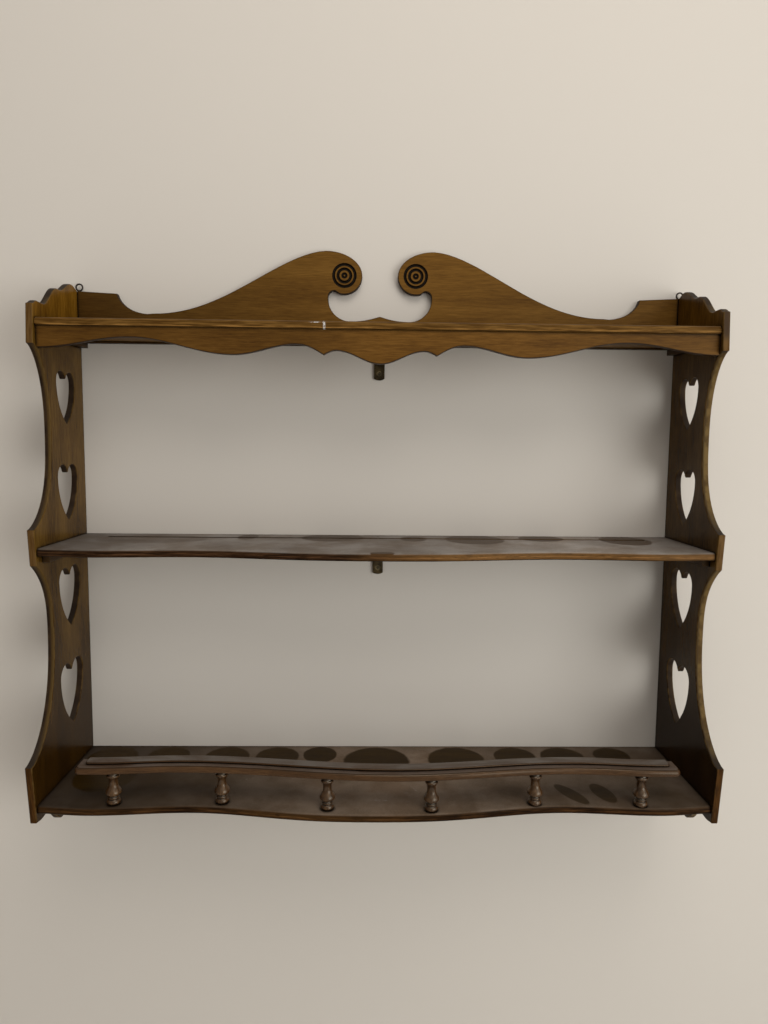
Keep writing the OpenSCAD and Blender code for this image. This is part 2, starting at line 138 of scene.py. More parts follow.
soft_lamp("window_side", (1.75, -2.0, -0.28), (0, 0, -0.25), 1.9, 31, (0.96, 1.0, 1.0))
soft_lamp("overhead", (0.3, -1.5, 1.5), (0, 0, -0.2), 1.3, 17, (1.0, 0.97, 0.92))

surround = bpy.data.worlds.new("surround")
scene.world = surround
surround.use_nodes = True
tree = surround.node_tree
toward = place(tree, "SeparateXYZ", {"Vector": place(tree, "TexCoord", {})["Generated"]})
glow = calc(tree, "MULTIPLY_ADD", toward["X"], 0.34, 0.52)
glow = calc(tree, "MULTIPLY_ADD", toward["Z"], 0.10, glow)
wire(tree, tree.nodes["Background"], {"Strength": glow, "Color": (1.0, 0.975, 0.94, 1)})

# --------------------------------------------------------------------------- side panels
# Two thin boards, grain upright, fretsawn to a scalloped front with a carved crown and
# foot and four hearts. Their arrises are eased by hand, then the whole is stained brown
# and varnished. The sawn edges took more stain than the faces and now hold dust.
PANEL_T = 0.0095


def cad_copy(node):
    """A merged copy of a CAD board, open for editing, with a face mark for eased edges."""
    mesh = bmesh.new()
    mesh.from_mesh(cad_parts[node].data)
    mesh.faces.layers.float.new("arris")
    bmesh.ops.remove_doubles(mesh, verts=mesh.verts, dist=1e-6)
    bmesh.ops.dissolve_limit(mesh, angle_limit=radians(0.05), verts=mesh.verts, edges=mesh.edges)
    return mesh


def outline_edges(mesh, axis, thick, keep):
    """Edges where a board's broad face meets a wall that runs through its whole thickness."""
    found = []
    for edge in mesh.edges:
        wall, flat = sorted(edge.link_faces, key=lambda face: abs(face.normal[axis]))
        reach = [corner.co[axis] for corner in wall.verts]
        whole = max(reach) - min(reach) > 0.98 * thick
        square = abs(wall.normal[axis]) < 0.2 and abs(flat.normal[axis]) > 0.98
        middle = (edge.verts[0].co + edge.verts[1].co) / 2
        if whole and square and keep(middle, wall.normal):
            found.append(edge)
    return found


def ease_edges(mesh, edges, radius, segments=3):
    made = bmesh.ops.bevel(mesh, geom=edges, offset=radius, offset_type="OFFSET", segments=segments,
                           profile=0.5, affect="EDGES", loop_slide=False, clamp_overlap=False)
    arris = mesh.faces.layers.float["arris"]
    for face in made["faces"]:
        face[arris] = 1.0


def hang_piece(mesh, name, nodes, material, crease=32):
    """Makes an edited mesh the piece that stands for some CAD nodes."""
    for edge in mesh.edges:
        edge.smooth = edge.calc_face_angle(0) < radians(crease)
    for face in mesh.faces:
        face.smooth = True
    data = bpy.data.meshes.new(name)
    mesh.to_mesh(data)
    mesh.free()
    data.materials.append(material)
    piece = bpy.data.objects.new(name, data)
    scene.collection.objects.link(piece)
    piece.modifiers.new("even_shading", "WEIGHTED_NORMAL").keep_sharp = True
    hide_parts(*nodes)
    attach(piece, "root")


def new_group(name, inputs, outputs):
    """A shader node group with named sockets; returns it, its inputs and its outputs."""
    group = bpy.data.node_groups.new(name, "ShaderNodeTree")
    for label, kind, value in inputs:
        socket = group.interface.new_socket(label, in_out="INPUT", socket_type="NodeSocket" + kind)
        if value is not None:
            socket.default_value = value
    for label in outputs:
        group.interface.new_socket(label, in_out="OUTPUT", socket_type="NodeSocketFloat")
    given = group.nodes.new("NodeGroupInput").outputs
    return group, given, group.nodes.new("NodeGroupOutput").inputs


def use_group(tree, group, wires):
    return place(tree, "Group", wires, node_tree=group)


def weighed(tree, first, share, second):
    """A mean of two values, in which the first counts for its share."""
    return calc(tree, "ADD", calc(tree, "MULTIPLY", first, share),
                calc(tree, "MULTIPLY", second, 1 - share))


def highest(tree, values):
    return reduce(lambda first, second: calc(tree, "MAXIMUM", first, second), values)


def fade(tree, value, low, high):
    """0 where the value is at low and 1 where it is at high, with a smooth passage."""
    return place(tree, "MapRange", {"Value": value, "From Min": low, "From Max": high},
                 interpolation_type="SMOOTHSTEP")["Result"]


def mottle(tree, spot, scale, detail=3.0, rough=0.55, seed=0.0):
    return place(tree, "TexNoise", {"Vector": spot, "W": seed, "Scale": scale, "Detail": detail,
                                    "Roughness": rough}, noise_dimensions="4D")[0]


def tint(tree, amount, under, over, mode="MIX"):
    return place(tree, "Mix", {0: amount, 6: under, 7: over}, data_type="RGBA", blend_type=mode)[2]


def stretched(tree, spot, factors):
    return place(tree, "VectorMath", {0: spot, 1: factors}, operation="MULTIPLY")[0]


grain, at, out = new_group("grain", [("Vector", "Vector", None), ("Seed", "Float", 0.0)],
                           ["Figure", "Fibre", "Flecks"])
sway = mottle(grain, at["Vector"], 4.0, 2.0, 0.5, at["Seed"])
sway = stretched(grain, place(grain, "CombineXYZ", {1: sway, 2: sway})[0], (0, 0.012, 0.012))
bent = place(grain, "VectorMath", {0: at["Vector"], 1: sway}, operation="ADD")[0]
broad = mottle(grain, stretched(grain, bent, (2.0, 34, 34)), 1.0, 3.0, 0.6, at["Seed"])
blotch = mottle(grain, stretched(grain, at["Vector"], (9, 22, 22)), 1.0, 3.0, 0.55, at["Seed"])
grain.links.new(weighed(grain, broad, 0.6, blotch), out["Figure"])
fibre = mottle(grain, stretched(grain, bent, (40, 540, 540)), 1.0, 4.0, 0.7, at["Seed"])
grain.links.new(fibre, out["Fibre"])
fleck = mottle(grain, stretched(grain, bent, (40, 420, 420)), 1.0, 2.0, 0.5, at["Seed"])
grain.links.new(fade(grain, fleck, 0.62, 0.74), out["Flecks"])

dust_coat, at, out = new_group("dust_coat", [("Vector", "Vector", None), ("Up", "Float", 0.0),
                                             ("Seed", "Float", 0.0)], ["Cover"])
level = fade(dust_coat, at["Up"], 0.35, 0.97)
drift = mottle(dust_coat, at["Vector"], 14.0, 4.0, 0.6, at["Seed"])
speck = mottle(dust_coat, at["Vector"], 420.0, 3.0, 0.7, at["Seed"])
drift = fade(dust_coat, weighed(dust_coat, drift, 0.7, speck), 0.30, 0.66)
drift = calc(dust_coat, "MULTIPLY_ADD", drift, 0.5, 0.5)
dust_coat.links.new(calc(dust_coat, "MULTIPLY", level, drift), out["Cover"])

# Grime with painted shade: an ambient-occlusion mask that darkens corners and joints.
corner_grime_and_shade, at, out = new_group("corner_grime_and_shade", [("Reach", "Float", 0.012), ("Onset", "Float", 0.8),
                                                   ("Full", "Float", 0.1)], ["Grime"])
open_air = place(corner_grime_and_shade, "AmbientOcclusion", {"Distance": at["Reach"]}, samples=6)["AO"]
corner_grime_and_shade.links.new(fade(corner_grime_and_shade, open_air, at["Onset"], at["Full"]), out["Grime"])


def grime_and_shade_in(tree, reach, onset, full=0.1):
    """Dirt and painted shade where corners within reach shut out the air, from none at onset to all at
    full.
    """
    return use_group(tree, corner_grime_and_shade, {"Reach": reach, "Onset": onset, "Full": full})["Grime"]


def dust_on(tree, parts, seed):
    return use_group(tree, dust_coat, {"Vector": parts["spot"], "Up": parts["facing"]["Z"],
                                       "Seed": seed})["Cover"]


def sawn_share(tree, facing):
    """1 on the sawn edges of a board and 0 on its faces, which face along the axis given."""
    return fade(tree, calc(tree, "ABSOLUTE", facing), 0.8, 0.3)


def start_wood(name, turn, seed, dark, middle, light):
    """A material as far as bare stained wood. Returns it, its tree and what later coats read."""
    material, tree = new_material(name)[:2]
    where = place(tree, "TexCoord", {})
    along = place(tree, "Mapping", {"Vector": where["Object"], "Rotation": turn})[0]
    figure = use_group(tree, grain, {"Vector": along, "Seed": seed})
    ramp = place(tree, "ValToRGB", {"Fac": weighed(tree, figure["Figure"], 0.55, figure["Fibre"])})
    stops = ramp[0].node.color_ramp.elements
    stops[0].position, stops[0].color = 0.38, (*dark, 1)
    stops[1].position, stops[1].color = 0.63, (*light, 1)
    stops.new(0.5).color = (*middle, 1)
    colour = tint(tree, calc(tree, "MULTIPLY", figure["Flecks"], 0.6), ramp[0], (*dark, 1))
    facing = place(tree, "SeparateXYZ", {"Vector": where["Normal"]})
    arris = place(tree, "Attribute", {}, attribute_name="arris")["Fac"]
    # Grime and painted shade in the corners, over a wide and a tight reach.
    wide = calc(tree, "MULTIPLY", grime_and_shade_in(tree, 0.022, 0.75), 0.75)
    grime_and_shade = calc(tree, "MAXIMUM", wide, grime_and_shade_in(tree, 0.0045, 0.92, 0.5))
    return material, tree, {"spot": where["Object"], "facing": facing, "colour": colour,
                            "fibre": figure["Fibre"], "arris": arris, "grime_and_shade": grime_and_shade}


def varnish(tree, parts, colour, rough, specular=0.15, relief=0.00006):
    """The last coat: dirt and painted shade in the corners, the gloss, and the fibres as faint relief.
    """
    bump = place(tree, "Bump", {"Height": parts["fibre"], "Distance": relief, "Strength": 0.6})[0]
    wire(tree, tree.nodes["Principled BSDF"], {
        "Base Color": tint(tree, parts["grime_and_shade"], colour, (0.004, 0.002, 0.001, 1)),
        "Roughness": rough, "Specular IOR Level": specular, "Specular Tint": (1.0, 0.86, 0.66, 1),
        "Normal": bump})


side_wood, tree, parts = start_wood(
    "side_wood", (0, radians(90), 0), 2.0, (0.030, 0.0125, 0.0015), (0.082, 0.040, 0.0055),
    (0.140, 0.074, 0.013))
sawn = sawn_share(tree, parts["facing"]["X"])
here = place(tree, "SeparateXYZ", {"Vector": parts["spot"]})
# Painted shade: both boards darken from the middle shelf down, and the right one is darker all over.
painted_shade_tint = tint(tree, fade(tree, here["Z"], -0.30, -0.60), (1, 1, 1, 1), (0.30, 0.25, 0.16, 1))
# Above the top shelf both boards are lighter.
painted_shade_tint = tint(tree, fade(tree, here["Z"], -0.01, 0.02), painted_shade_tint, (1.7, 1.55, 0.95, 1))
on_right = calc(tree, "GREATER_THAN", here["X"], 0.0)
painted_shade_tint = tint(tree, on_right, painted_shade_tint, tint(tree, 1.0, painted_shade_tint, (0.66, 0.64, 0.75, 1), "MULTIPLY"))
face_colour = tint(tree, 1.0, parts["colour"], painted_shade_tint, "MULTIPLY")
# The three blocks face the room: their fronts stay warm brown, while the scallops are dark.
BLOCK_FRONTS = ((-0.032, 0.021), (-0.320, -0.270), (-0.659, -0.577))
block = highest(tree, [calc(tree, "COMPARE", here["Z"], (low + high) / 2, (high - low) / 2)
                       for low, high in BLOCK_FRONTS])
front = calc(tree, "MULTIPLY", fade(tree, parts["facing"]["Y"], -0.75, -0.95), block)
patchy = mottle(tree, parts["spot"], 60.0, 3.0)
edge_colour = tint(tree, fade(tree, patchy, 0.35, 0.65), (0.014, 0.007, 0.004, 1),
                   (0.030, 0.017, 0.009, 1))
# Painted light: the scallops' rounded edges are golden brown where they catch the window's light,
# from the middle of the left board's edge and from 3 mm before the middle of the right's.
EDGE_LIGHT_FROM = (-0.45225, 0.44925)
start_x = calc(tree, "MULTIPLY_ADD", on_right, EDGE_LIGHT_FROM[1] - EDGE_LIGHT_FROM[0], EDGE_LIGHT_FROM[0])
painted_edge_light = fade(tree, calc(tree, "SUBTRACT", here["X"], start_x), -0.0015, 0.0025)
painted_edge_light = calc(tree, "MULTIPLY", painted_edge_light, fade(tree, here["Y"], -0.099, -0.104))
painted_edge_light = calc(tree, "MULTIPLY", painted_edge_light, fade(tree, parts["facing"]["Y"], -0.3, -0.6))
gold = tint(tree, on_right, (0.075, 0.044, 0.013, 1), (0.125, 0.078, 0.026, 1))
gold = tint(tree, fade(tree, patchy, 0.40, 0.62), gold, (0.060, 0.033, 0.010, 1))
edge_colour = tint(tree, painted_edge_light, edge_colour, gold)
streaks = mottle(tree, stretched(tree, parts["spot"], (420, 420, 30)), 1.0, 3.0)
streaks = fade(tree, streaks, 0.35, 0.65)
front_colour = tint(tree, streaks, (0.066, 0.030, 0.007, 1), (0.110, 0.058, 0.018, 1))
shaded_low_front = tint(tree, streaks, (0.026, 0.009, 0.001, 1), (0.064, 0.025, 0.004, 1))
# Painted shade: the block fronts darken from the middle shelf down, like the faces.
front_colour = tint(tree, fade(tree, here["Z"], -0.28, -0.60), front_colour, shaded_low_front)
# The right panel's top block has gone grey-brown above its lower corner.
faded = calc(tree, "MULTIPLY", fade(tree, here["Z"], -0.022, -0.008), on_right)
front_colour = tint(tree, calc(tree, "MULTIPLY", faded, 0.8), front_colour, (0.034, 0.021, 0.014, 1))
edge_colour = tint(tree, front, edge_colour, front_colour)
colour = tint(tree, sawn, face_colour, edge_colour)
# Wear and a painted highlight: the eased arrises are lighter in patches.
wear_and_highlight = calc(tree, "MULTIPLY", parts["arris"], fade(tree, patchy, 0.42, 0.6))
colour = tint(tree, calc(tree, "MULTIPLY", wear_and_highlight, 0.6), colour, (0.095, 0.055, 0.016, 1))
dust = dust_on(tree, parts, 1.0)
colour = tint(tree, dust, colour, (0.026, 0.019, 0.014, 1))
gloss = calc(tree, "MULTIPLY_ADD", patchy, 0.14, 0.16)
rough = calc(tree, "MULTIPLY_ADD", calc(tree, "MAXIMUM", dust, sawn), 0.30, gloss)
varnish(tree, parts, colour, rough, 0.09, 0.00003)

for side in ("left", "right"):
    board = cad_copy(side + "_side_panel")
    rims = outline_edges(board, 0, PANEL_T, lambda spot, out: spot.y < -0.001)
    ease_edges(board, rims, 0.0016)
    hang_piece(board, side + "_panel_board", [side + "_side_panel"], side_wood)

# ------------------------------------------------------------------------------- shelves
# Three boards housed in the panels, grain along them, with rounded front edges. The lower
# two have serpentine fronts, and the middle one a plate groove. Grey dust lies on their
# tops, with clean brown prints on the lower two, where plates and ornaments stood for years.
SHELF_T, UPPER_ROUND, LOWER_ROUND = 0.0105, 0.0034, 0.0024
THROUGH = 9.0  # a radius far greater than the shelf is thick, so a print reads in plan only
RAGGED = 0.10  # how far noise moves a print's edge, as a share of its radius
RAMP_W = 0.9  # the width that a ramp across the rack spans

print_mark, at, out = new_group(
    "print_mark", [("Vector", "Vector", None), ("Centre", "Vector", None), ("Radii", "Vector", None),
                   ("Blur", "Float", 0.05)], ["Mark"])
offset = place(print_mark, "VectorMath", {0: at["Vector"], 1: at["Centre"]}, operation="SUBTRACT")[0]
offset = place(print_mark, "VectorMath", {0: offset, 1: at["Radii"]}, operation="DIVIDE")[0]
offset = place(print_mark, "VectorMath", {0: offset}, operation="LENGTH")["Value"]
noise = mottle(print_mark, at["Vector"], 90.0, 3.0)
offset = calc(print_mark, "MULTIPLY_ADD", noise, RAGGED, offset)
inner = calc(print_mark, "SUBTRACT", 1 + RAGGED / 2, at["Blur"])
outer = calc(print_mark, "ADD", 1 + RAGGED / 2, at["Blur"])
print_mark.links.new(fade(print_mark, offset, outer, inner), out["Mark"])


def prints_on(tree, spot, prints):
    """Merges prints, each (x, depth, half width, half depth, strength, degrees turned)."""
    marks = []
    for x, depth, half_w, half_d, strength, turn in prints:
        centre = (x, -depth, 0)
        turned = place(tree, "VectorRotate", {"Vector": spot, "Center": centre,
                                              "Angle": radians(-turn)}, rotation_type="Z_AXIS")[0]
        mark = use_group(tree, print_mark, {"Vector": turned, "Centre": centre,
                                            "Radii": (half_w, half_d, THROUGH)})["Mark"]
        marks.append(calc(tree, "MULTIPLY", mark, strength))
    return highest(tree, marks)


def across_ramp(tree, x, stops):
    """A grey level that changes along the rack: (metres from mid width, level) pairs."""
    share = calc(tree, "ADD", calc(tree, "DIVIDE", x, RAMP_W), 0.5)
    ramp = place(tree, "ValToRGB", {"Fac": share})[0]
    made = ramp.node.color_ramp.elements
    made[1].position = 1.0
    for number, (spot, level) in enumerate(stops):
        stop = made[number] if number < 2 else made.new(spot / RAMP_W + 0.5)
        stop.position, stop.color = spot / RAMP_W + 0.5, (level, level, level, 1)
    return place(tree, "SeparateColor", {"Color": ramp})["Red"]


def scaled(tree, colour, factor):
    return place(tree, "VectorMath", {0: colour, "Scale": factor}, operation="SCALE")[0]


def shelf_material(name, seed, level, tones, fronts, dust_tone, drift, prints, scuffs, faint):
    """Stained shelf wood under dust, its top at level; fronts are the front edge's tones."""
    material, tree, parts = start_wood(name, (0, 0, 0), seed, *tones)
    up = parts["facing"]["Z"]
    here = place(tree, "SeparateXYZ", {"Vector": parts["spot"]})
    front = fade(tree, parts["facing"]["Y"], -0.3, -0.75)
    streak = mottle(tree, stretched(tree, parts["spot"], (22, 60, 420)), 1.0, 3.0, 0.6, seed)
    edge = tint(tree, fade(tree, streak, 0.38, 0.62), (*fronts[0], 1), (*fronts[1], 1))
    edge = tint(tree, across_ramp(tree, here["X"], fronts[2]), edge, (*fronts[3], 1))
    # A painted highlight: a light line runs along the rounded front.
    line = calc(tree, "ABSOLUTE", calc(tree, "SUBTRACT", here["Z"], level - 0.0058))
    line = fade(tree, line, 0.0012, 0.0004)
    line = calc(tree, "MULTIPLY", line, fade(tree, streak, 0.40, 0.55))
    edge = tint(tree, calc(tree, "MULTIPLY", line, 0.65), edge,
                tint(tree, 1.0, edge, (2.1, 2.1, 2.3, 1), "MULTIPLY"))
    fine = calc(tree, "MULTIPLY", fade(tree, parts["fibre"], 0.45, 0.65), 0.5)
    edge = tint(tree, fine, edge, (*fronts[0], 1))
    colour = tint(tree, front, parts["colour"], edge)
    # Painted shadow: the lower rounded arris at the front is near black.
    lower = calc(tree, "MULTIPLY", parts["arris"], fade(tree, up, -0.25, -0.7))
    colour = tint(tree, calc(tree, "MULTIPLY", lower, 0.85), colour, (0.008, 0.004, 0.002, 1))
    dust = dust_on(tree, parts, seed)
    if prints:
        cleaned = prints_on(tree, parts["spot"], prints)
        dust = calc(tree, "MULTIPLY", dust, calc(tree, "SUBTRACT", 1.0, cleaned))
    dust = calc(tree, "MULTIPLY", dust, faint)
    # Painted light and shade: the dust's tone is scaled along the shelf by the ramp given.
    laid = scaled(tree, dust_tone, across_ramp(tree, here["X"], drift))
    blotch = fade(tree, mottle(tree, parts["spot"], 17.0, 5.0, 0.65, seed), 0.40, 0.62)
    laid = tint(tree, calc(tree, "MULTIPLY", blotch, 0.55), laid,
                tint(tree, 1.0, laid, (0.60, 0.50, 0.40, 1), "MULTIPLY"))
    colour = tint(tree, dust, colour, laid)
    if scuffs:
        scratch = fade(tree, mottle(tree, parts["spot"], 150.0, 3.0), 0.46, 0.70)
        scratch = calc(tree, "MULTIPLY", prints_on(tree, parts["spot"], scuffs), scratch)
        scratch = calc(tree, "MULTIPLY", scratch, fade(tree, up, 0.5, 0.9))
        colour = tint(tree, scratch, colour, (0.24, 0.20, 0.17, 1))
    varnish(tree, parts, colour, calc(tree, "MULTIPLY_ADD", dust, 0.45, 0.38), 0.05)
    return material, tree, colour


def tape_over(tree, colour):
    """A strip of old white tape stuck over the front edge, with a torn tail to its left."""
    spot = place(tree, "TexCoord", {})["Object"]
    strip = {"Centre": (-0.0735, 0, -0.0045), "Radii": (0.0014, THROUGH, 0.0080)}
    tail = {"Centre": (-0.0830, 0, 0.0004), "Radii": (0.0090, THROUGH, 0.0006)}
    tape = highest(tree, [use_group(tree, print_mark, {"Vector": spot, "Blur": 0.3, **shape})["Mark"]
                          for shape in (strip, tail)])
    near = fade(tree, place(tree, "SeparateXYZ", {"Vector": spot})["Y"], -0.140, -0.146)
    torn = fade(tree, mottle(tree, spot, 420.0, 2.0), 0.38, 0.52)
    tape = calc(tree, "MULTIPLY", calc(tree, "MULTIPLY", tape, near), torn)
    return tint(tree, tape, colour, (0.50, 0.47, 0.44, 1))


END_RISE = (0.0031, 0.0020)  # how far the top shelf's left and right ends stand above its middle
HALF_SPAN = 0.44


def sagged(mesh):
    """Bends a board of the top tier: years of load have pulled its middle down."""
    for corner in mesh.verts:
        rise = END_RISE[corner.co.x > 0]
        corner.co.z += rise * (corner.co.x / HALF_SPAN) ** 2


def on_front(spot, out):
    return out.y < -0.3 and spot.y < -0.1


top_tones = ((0.060, 0.026, 0.004), (0.115, 0.055, 0.010), (0.180, 0.095, 0.022))
middle_tones = ((0.024, 0.012, 0.005), (0.050, 0.028, 0.013), (0.078, 0.047, 0.025))
bottom_tones = ((0.012, 0.005, 0.000), (0.022, 0.010, 0.000), (0.036, 0.018, 0.001))
# Front edges: dark tone, light tone, where along the shelf a third tone shows, third tone.
top_front = ((0.064, 0.028, 0.005), (0.150, 0.075, 0.018), ((-0.40, 0.0), (0.30, 0.0)),
             (0.2, 0.1, 0.03))
# The middle shelf's front is lighter on its right part: dust and a painted highlight.
middle_front = ((0.012, 0.005, 0.002), (0.052, 0.024, 0.010),
                ((-0.05, 0.0), (0.10, 0.75), (0.33, 0.65)), (0.165, 0.080, 0.024))
bottom_front = ((0.008, 0.003, 0.001), (0.040, 0.017, 0.005),
                ((-0.45, 0.25), (-0.25, 0.0), (-0.1, 0.5), (0.1, 0.0)), (0.075, 0.036, 0.011))
# The bottom shelf's round prints were left by things pushed back to the same line.
BACK_GAP = 0.005
bottom_prints = [(x, radius + BACK_GAP, radius, radius, 1, 0) for x, radius in (
    (-0.402, 0.037), (-0.319, 0.032), (-0.229, 0.034), (-0.152, 0.033), (0.0, 0.050),
    (0.122, 0.043), (0.214, 0.032), (0.288, 0.034), (0.366, 0.028))]
bottom_prints += [(-0.087, 0.031, 0.026, 0.028, 1, 0), (-0.390, 0.104, 0.044, 0.046, 0.9, 0),
                  (0.269, 0.155, 0.032, 0.011, 0.85, -61), (0.314, 0.152, 0.028, 0.013, 0.85, -76)]
bottom_scuffs = [(0.053, 0.142, 0.010, 0.0012, 0.9, -58), (0.019, 0.174, 0.028, 0.0014, 0.7, -4),
                 (-0.180, 0.110, 0.020, 0.0015, 0.6, 18), (0.040, 0.150, 0.006, 0.004, 0.5, 0)]
middle_prints = [(0.0525, 0.0425, 0.0195, 0.0275, 0.9, 0), (0.1435, 0.045, 0.0435, 0.050, 0.9, 0),
                 (0.2465, 0.028, 0.0335, 0.032, 1.0, 0), (0.369, 0.045, 0.036, 0.050, 1.0, 0),
                 (-0.0675, 0.035, 0.0475, 0.040, 0.9, 0), (-0.195, 0.030, 0.015, 0.030, 0.8, 0),
                 (-0.330, 0.060, 0.080, 0.045, 0.45, 0), (0.004, 0.182, 0.016, 0.012, 0.95, 0)]
middle_scuffs = [(-0.140, 0.115, 0.004, 0.004, 0.7, 0), (0.165, 0.120, 0.030, 0.0025, 0.5, 0),
                 (-0.085, 0.125, 0.020, 0.002, 0.4, 5), (-0.255, 0.120, 0.006, 0.003, 0.5, 0)]
# Node, tones, front, dust's tone, its painted light and shade along the shelf, prints, scuffs, cover.
shelf_looks = [
    ("top_shelf", top_tones, top_front, (0.10, 0.085, 0.07), ((-0.4, 1.0), (0.4, 1.0)), [], [], 0.35),
    ("middle_shelf", middle_tones, middle_front, (0.215, 0.190, 0.167),
     ((-0.42, 0.7), (-0.3, 1.25), (0.02, 1.15), (0.17, 1.4), (0.27, 1.75), (0.42, 1.0)),
     middle_prints, middle_scuffs, 0.95),
    # Painted shade: the bottom shelf's dust has a darker tone than the middle shelf's.
    ("bottom_shelf", bottom_tones, bottom_front, (0.112, 0.082, 0.059),
     ((-0.39, 0.40), (-0.27, 0.7), (-0.16, 1.1), (0.0, 2.0), (0.12, 1.5), (0.37, 0.95)),
     bottom_prints, bottom_scuffs, 0.97)]
for seed, (node, *looks) in enumerate(shelf_looks):
    board = cad_copy(node)
    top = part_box(node)[1].z
    upper = outline_edges(board, 2, SHELF_T,
                          lambda spot, out: on_front(spot, out) and spot.z > top - 0.001)
    ease_edges(board, upper, UPPER_ROUND, 4)
    lower = outline_edges(board, 2, SHELF_T - UPPER_ROUND,
                          lambda spot, out: on_front(spot, out) and spot.z < top - 0.009)
    ease_edges(board, lower, LOWER_ROUND)
    finish, tree, colour = shelf_material(node + "_wood", 3.0 + seed, top, *looks)
    if node == "top_shelf":
        sagged(board)
        # The tape goes straight to the shader, so this shelf has no grime or painted shade in its
        # corners.
        wire(tree, tree.nodes["Principled BSDF"], {"Base Color": tape_over(tree, colour)})
    hang_piece(board, node + "_board", [node], finish)

# ------------------------------------------------------------------------ pediment board
# One board behind the top shelf, sawn to a broken scroll pediment. Each scroll ends in a
# rosette of three ring grooves cut with a drill-press cutter, and stain sits black in them.
ROSETTE_X, ROSETTE_Z = 0.053, 0.092
RINGS = ((0.0160, 0.0022), (0.0095, 0.0022), (0.0028, 0.0018))  # radius, half width of the black

front_tones = ((0.056, 0.023, 0.003), (0.094, 0.042, 0.006), (0.134, 0.064, 0.011))
pediment_wood, tree, parts = start_wood("pediment_wood", (0, 0, 0), 7.0, *front_tones)
sawn = sawn_share(tree, parts["facing"]["Y"])
across = place(tree, "SeparateXYZ", {"Vector": parts["spot"]})
ends = across_ramp(tree, across["X"], ((-0.40, 0.62), (-0.15, 1.12), (0.08, 1.38), (0.30, 1.1),
                                       (0.42, 1.2)))
colour = scaled(tree, parts["colour"], ends)
colour = tint(tree, calc(tree, "MULTIPLY", sawn, 0.9), colour, (0.016, 0.008, 0.004, 1))
# Painted shade: the eased rims are dark, darkest where they face down.
under = calc(tree, "MULTIPLY_ADD", fade(tree, parts["facing"]["Z"], 0.15, -0.35), 0.5, 0.4)
under = calc(tree, "MULTIPLY", parts["arris"], under)
colour = tint(tree, under, colour, (0.010, 0.005, 0.002, 1))
side_x = calc(tree, "SUBTRACT", calc(tree, "ABSOLUTE", across["X"]), ROSETTE_X)
side_z = calc(tree, "SUBTRACT", across["Z"], ROSETTE_Z)
radius = place(tree, "VectorMath", {0: place(tree, "CombineXYZ", {0: side_x, 1: side_z})[0]},
               operation="LENGTH")["Value"]
for ring, half in RINGS:
    away = calc(tree, "ABSOLUTE", calc(tree, "SUBTRACT", radius, ring))
    groove = fade(tree, away, half + 0.0003, half - 0.0003)
    colour = tint(tree, groove, colour, (0.002, 0.001, 0.0005, 1))
dust = calc(tree, "MULTIPLY", dust_on(tree, parts, 8.0), 0.35)
colour = tint(tree, dust, colour, (0.055, 0.046, 0.040, 1))
varnish(tree, parts, colour, 0.5, 0.1)

board = cad_copy("pediment_board")
rims = outline_edges(board, 1, PANEL_T, lambda spot, out: spot.y < -0.005 and spot.z > -0.009)
ease_edges(board, rims, 0.0011, 2)
hang_piece(board, "pediment_scrollwork", ["pediment_board"], pediment_wood)

# --------------------------------------------------------------------------------- apron
# A shaped valance glued and bradded under the top shelf's front, from the same stock as
# the pediment. Its face is the warmest and most polished wood of the rack.
apron_tones = ((0.042, 0.015, 0.0015), (0.090, 0.038, 0.005), (0.140, 0.063, 0.011))
apron_wood, tree, parts = start_wood("apron_wood", (0, 0, 0), 11.0, *apron_tones)
sawn = sawn_share(tree, parts["facing"]["Y"])
across = place(tree, "SeparateXYZ", {"Vector": parts["spot"]})["X"]
ends = across_ramp(tree, across, ((-0.42, 0.85), (-0.10, 0.85), (0.0, 1.15), (0.15, 1.15),
                                  (0.40, 1.0)))
colour = scaled(tree, parts["colour"], ends)
colour = tint(tree, calc(tree, "MULTIPLY", sawn, 0.9), colour, (0.014, 0.007, 0.004, 1))
# Painted shade: the eased lower rim is dark.
colour = tint(tree, calc(tree, "MULTIPLY", parts["arris"], 0.6), colour, (0.012, 0.006, 0.003, 1))
varnish(tree, parts, colour, 0.45, 0.12)

board = cad_copy("apron")
rims = outline_edges(board, 1, PANEL_T, lambda spot, out: out.z < -0.3)
ease_edges(board, rims, 0.0011, 2)
sagged(board)
hang_piece(board, "apron_board", ["apron"], apron_wood)

# -------------------------------------------------------------------------- gallery rail
# A moulded rail bent in plan like the shelf below it: a rounded nose, a flat ledge and a
# raised cap. It is shaped on a spindle moulder, stands on the spindles, and its ends are
# free. Dust greys its flats.
RAIL_L, RAIL_W, RAIL_T, RAIL_MID = 0.803, 0.029, 0.012, 0.0025
NOSE_DEEP, NOSE_FOOT, CAP_T, CAP_STEP, CAP_ROUND = 0.0035, 0.0035, 0.003, 0.0115, 0.0013
END_RADIUS, FLAT_STEPS = 0.008, 120
RAIL_KNOTS = ((-0.470, 0.1880), (-0.378, 0.1915), (-0.262, 0.1848), (0.025, 0.2096), (0.262, 0.1886),
              (0.378, 0.1960), (0.470, 0.1925))


def half_wave(start, end, share):
    return start + (end - start) * (1 - cos(pi * share)) / 2


def nose_line(x):
    """How far the rail's nose stands out from the wall at x."""
    for (left, out), (right, next_out) in zip(RAIL_KNOTS, RAIL_KNOTS[1:]):
        if x <= right:
            return half_wave(out, next_out, (x - left) / (right - left))


